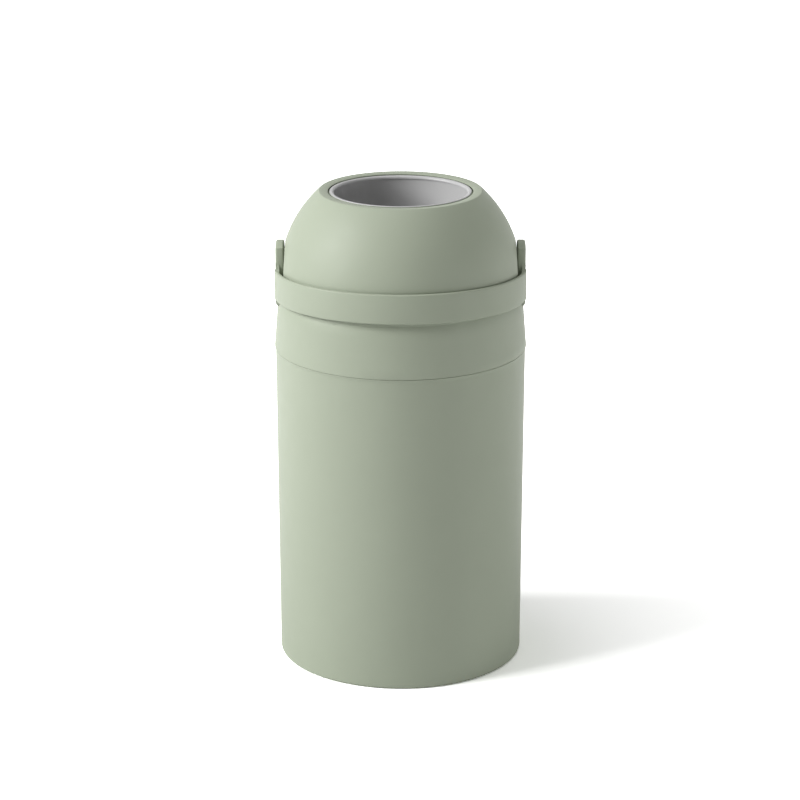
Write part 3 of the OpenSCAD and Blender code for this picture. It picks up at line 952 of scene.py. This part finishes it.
    def place(self, body: Solid) -> None:
        """Tilts the handle to its rest and lifts it to the turning axis.

        Args:
            body: The finished handle.
        """
        body.piece.rotation_euler = (-math.radians(self.tilt_degrees), 0.0, 0.0)
        body.piece.location = (0.0, 0.0, self.turning_height)
        bpy.ops.object.transform_apply(location=True, rotation=True, scale=True)


@dataclass
class PailSkin:
    """The pail with its wall flared to a softly rounded edge at the seam."""

    node: str = "pail_shell"
    top: float = 0.365
    top_radius: float = 0.1413
    taper: float = 0.0022
    flare_height: float = 0.0055
    flare: float = 0.001
    flare_steps: int = 5
    edge_round: float = 0.0005
    edge_steps: int = 3
    hinge_half: float = 0.05
    crisp_degrees: float = 30.0

    def build(self, frame: dict, wardrobe: Wardrobe) -> bpy.types.Object:
        """Models the skin from a copy of the pail's shell.

        Args:
            frame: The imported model.
            wardrobe: Gives the finish.

        Returns:
            The finished piece.
        """
        body = Solid.copy_of("pail_skin", frame["nodes"][self.node])
        body.slice(UP, tuple(
            self.top - self.flare_height * (1 - step / self.flare_steps)
            for step in range(self.flare_steps)))
        body.turn_profile(self.flared, self.at_hinge)
        on_edge = along_ring(self.top_radius + self.flare, self.top)
        body.round_edges(lambda a, b: on_edge(a, b) and not self.at_hinge(a)
                         and not self.at_hinge(b), self.edge_round, self.edge_steps)
        body.smooth(self.crisp_degrees)
        wardrobe.dress(body.piece, Slot.SAGE_SHELL)
        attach(body.piece, "pail")
        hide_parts(self.node)
        return body.piece

    def at_hinge(self, point: Vector) -> bool:
        """Tells whether a point lies behind the hinge, where the wall stays straight."""
        return point.y > 0.0 and abs(point.x) < self.hinge_half

    def flared(self, radius: float, height: float) -> Ring | None:
        """Gives the new place of a ring of the outer wall near the top.

        Args:
            radius: Radius of the ring.
            height: Height of the ring.

        Returns:
            Its new radius and height, or None for any other ring.
        """
        wall = self.top_radius - self.taper * (self.top - height) / self.top
        share = (height - self.top + self.flare_height) / self.flare_height
        if share <= 0.0 or height > self.top + HEIGHT_SLACK or abs(radius - wall) > WALL_SLACK:
            return None
        return radius + self.flare * share ** 2, height


@dataclass
class HeadSkin:
    """The head with a close seam, a gently curved shoulder and softly rounded mouth edges."""

    node: str = "head_shell"
    skirt: float = 0.367
    skirt_radius: float = 0.1425
    skirt_lip: float = 0.0016
    seam_drop: float = 0.00172
    lip_share: float = 0.32
    shoulder: float = 0.419
    shoulder_radius: float = 0.1382
    shoulder_round: float = 0.005
    shoulder_end: float = 0.42368
    bend: float = 0.408
    bend_radius: float = 0.13895
    slope: float = 0.0803
    bend_curve: float = 0.0452
    crease_radius: float = 0.09125
    crease_height: float = 0.54395
    crease_round: float = 0.0008
    crease_steps: int = 4
    mouth_radius: float = 0.08125
    mouth_height: float = 0.54285
    mouth_round: float = 0.0004
    mouth_steps: int = 2
    levels: tuple[float, ...] = (0.375, 0.392, 0.408, 0.411, 0.414, 0.417, 0.4195, 0.4215)
    skirt_inside: float = 0.13
    hinge_half: float = 0.05
    crisp_degrees: float = 30.0

    def build(self, frame: dict, wardrobe: Wardrobe) -> bpy.types.Object:
        """Models the skin from a copy of the head's shell.

        Args:
            frame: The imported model.
            wardrobe: Gives the finish.

        Returns:
            The finished piece.
        """
        body = Solid.copy_of("head_skin", frame["nodes"][self.node])
        body.slice(UP, self.levels)
        body.turn_profile(self.outer, self.at_hinge)
        body.turn_profile(self.lip, self.at_hinge)
        body.round_edges(along_ring(self.crease_radius, self.crease_height),
                         self.crease_round, self.crease_steps)
        body.round_edges(along_ring(self.mouth_radius, self.mouth_height),
                         self.mouth_round, self.mouth_steps)
        body.smooth(self.crisp_degrees)
        wardrobe.dress(body.piece, Slot.SAGE_SHELL)
        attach(body.piece, "head")
        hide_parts(self.node)
        return body.piece

    def at_hinge(self, point: Vector) -> bool:
        """Tells whether a point lies behind the hinge leaf, where the skirt stays as it is."""
        return point.y > 0.0 and abs(point.x) < self.hinge_half and point.z < self.bend

    def wall(self, height: float) -> float:
        """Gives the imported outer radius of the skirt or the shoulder.

        Args:
            height: Height on the wall.

        Returns:
            The radius.
        """
        if height <= self.shoulder:
            share = (height - self.skirt) / (self.shoulder - self.skirt)
            return self.skirt_radius + (self.shoulder_radius - self.skirt_radius) * share
        rise = height - self.shoulder
        bulge = math.sqrt(self.shoulder_round ** 2 - rise ** 2)
        return self.shoulder_radius - self.shoulder_round + bulge

    def outer(self, radius: float, height: float) -> Ring | None:
        """Gives the new place of a ring of the skirt's or the shoulder's outside.

        Args:
            radius: Radius of the ring.
            height: Height of the ring.

        Returns:
            Its new radius and height, or None for any other ring.
        """
        low = self.skirt + self.skirt_lip
        if not low - HEIGHT_SLACK < height < self.shoulder_end + HEIGHT_SLACK:
            return None
        if abs(radius - self.wall(height)) > WALL_SLACK:
            return None
        rise = height - self.bend
        curve = self.bend_radius - self.slope * rise - max(rise, 0.0) ** 2 / (2 * self.bend_curve)
        return radius + curve - self.wall(height), height

    def lip(self, radius: float, height: float) -> Ring | None:
        """Gives the new place of a ring of the skirt's bottom edge.

        Args:
            radius: Radius of the ring.
            height: Height of the ring.

        Returns:
            Its new radius and height, or None for any other ring.
        """
        rise = height - self.skirt
        if rise > self.skirt_lip + HEIGHT_SLACK or radius < self.skirt_inside:
            return None
        new_height = height - self.seam_drop - rise * (1 - self.lip_share)
        inset = self.skirt_radius - radius
        if inset >= self.skirt_lip + HEIGHT_SLACK:
            return radius, new_height
        edge = self.bend_radius + self.slope * (self.bend - self.skirt + self.seam_drop)
        return edge - inset * self.lip_share, new_height


@dataclass(frozen=True)
class CarriedNodes:
    """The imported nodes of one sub-assembly that keep their shape and take a finish."""

    title: str
    nodes: tuple[str, ...]

    def dress(self, frame: dict, wardrobe: Wardrobe) -> None:
        """Gives each node the finish that the record names for it.

        Args:
            frame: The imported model.
            wardrobe: Gives the finishes.
        """
        slots = {row["node"]: Slot(row["material_slot"]) for row in frame["record"]["subparts"]}
        for node in self.nodes:
            wardrobe.dress(frame["nodes"][node], slots[node])
        LOG.info("%s: %d nodes dressed", self.title, len(self.nodes))


# ---- Studio ----


@dataclass(frozen=True)
class Softbox:
    """A soft rectangular lamp that points at the middle of the bin."""

    name: str
    place: Point
    width: float
    height: float
    power: float
    target: Point = (0.0, 0.0, 0.27)

    def build(self, scene: bpy.types.Scene) -> None:
        """Hangs the lamp in the scene and turns it to its target.

        Args:
            scene: The scene to hang it in.
        """
        lamp = bpy.data.lights.new(self.name, "AREA")
        lamp.shape = "RECTANGLE"
        lamp.size = self.width
        lamp.size_y = self.height
        lamp.energy = self.power
        holder = bpy.data.objects.new(self.name, lamp)
        scene.collection.objects.link(holder)
        holder.location = self.place
        aim = Vector(self.target) - Vector(self.place)
        holder.rotation_euler = aim.to_track_quat("-Z", "Y").to_euler()


@dataclass
class Studio:
    """White floor, soft lamps, plain air and the camera."""

    floor_size: float = 60.0
    air: float = 0.16
    camera_place: Point = (0.0, -3.2157, 1.3197)
    camera_tilt: float = 72.37
    lens: float = 133.16
    sensor: float = 36.0
    shift: float = -0.0007
    paper: StudioPaper = StudioPaper("studio_paper", (0.8, 0.8, 0.8), glow=0.0)
    lamps: tuple[Softbox, ...] = (
        Softbox("key_left", (-3.3, -0.9, 2.3), 2.2, 2.2, 172.0),
        Softbox("high", (0.0, 0.2, 3.0), 1.6, 1.6, 14.0),
        Softbox("fill_right", (2.4, -1.4, 0.45), 1.2, 0.8, 12.0),
        Softbox("back_right", (2.4, 0.6, 0.5), 1.2, 0.8, 7.5),
        Softbox("front_low", (0.6, -3.4, 0.5), 1.6, 0.8, 2.5),
    )

    def build(self, scene: bpy.types.Scene) -> None:
        """Sets up the whole studio.

        Args:
            scene: The scene to set it up in.
        """
        self.lay_floor()
        self.fill_air(scene)
        for lamp in self.lamps:
            lamp.build(scene)
            LOG.info("%s: %.1f W", lamp.name, lamp.power)
        self.stand_camera(scene)
        scene.view_settings.view_transform = "Standard"

    def lay_floor(self) -> None:
        """Lays the white floor."""
        bpy.ops.object.select_all(action="DESELECT")
        bpy.ops.mesh.primitive_plane_add(size=self.floor_size, location=(0.0, 0.0, 0.0))
        floor = bpy.context.object
        floor.name = "studio_floor"
        floor.data.materials.append(self.paper.build())

    def fill_air(self, scene: bpy.types.Scene) -> None:
        """Fills the room with even light, and with white where it is seen.

        Args:
            scene: The scene to fill.
        """
        air = bpy.data.worlds.new("studio_air")
        scene.world = air
        air.use_nodes = True
        sheet = NodeSheet(air.node_tree)
        even = sheet.add("ShaderNodeBackground", Color=WHITE, Strength=self.air)
        white = sheet.add("ShaderNodeBackground", Color=WHITE, Strength=1.0)
        sky = sheet.choose(sheet.seen_rays(), even.outputs["Background"],
                           white.outputs["Background"])
        sheet.join(sky, sheet.add("ShaderNodeOutputWorld").inputs["Surface"])

    def stand_camera(self, scene: bpy.types.Scene) -> None:
        """Stands the camera in front of the bin and looks down on it a little.

        Args:
            scene: The scene to stand it in.
        """
        view = bpy.data.cameras.new("front_camera")
        view.lens = self.lens
        view.sensor_width = self.sensor
        view.shift_x = self.shift
        camera = bpy.data.objects.new("front_camera", view)
        scene.collection.objects.link(camera)
        camera.location = self.camera_place
        camera.rotation_euler = (math.radians(self.camera_tilt), 0.0, 0.0)
        scene.camera = camera


PAIL = CarriedNodes("pail", ("pail_shell", "bag_ring"))
HINGE = CarriedNodes("hinge", (
    "hinge_bracket", "bracket_screws", "hinge_pin", "hinge_leaf", "leaf_screws"))
HEAD = CarriedNodes("head", (
    "head_shell", "upper_seal", "drum_cradle", "lower_seal", "cradle_screws",
    "axle_bush_left", "axle_bush_right"))
DRUM = CarriedNodes("drum", (
    "handle", "handle_cap_left", "handle_cap_right", "axle_left", "axle_right",
    "axle_screws", "drum_shell_front", "drum_shell_rear", "drum_screws", "drum_tube",
    "rim_ring_top", "rim_ring_bottom"))
PISTON = CarriedNodes("piston", (
    "piston_cup", "piston_lid", "piston_weight", "piston_seal_upper", "piston_seal_lower"))


def main() -> None:
    """Builds the bin's looks in order and reports each piece."""
    logging.basicConfig(level=logging.INFO, format="%(message)s")
    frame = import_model()
    wardrobe = Wardrobe()
    for group in (PAIL, HINGE, HEAD, DRUM, PISTON):
        group.dress(frame, wardrobe)
    skins = (PailSkin().build(frame, wardrobe), HeadSkin().build(frame, wardrobe),
             Handle().build(wardrobe))
    for skin in skins:
        LOG.info("%s: %d faces", skin.name, len(skin.data.polygons))
    Studio().build(bpy.context.scene)


if __name__ == "__main__":
    main()
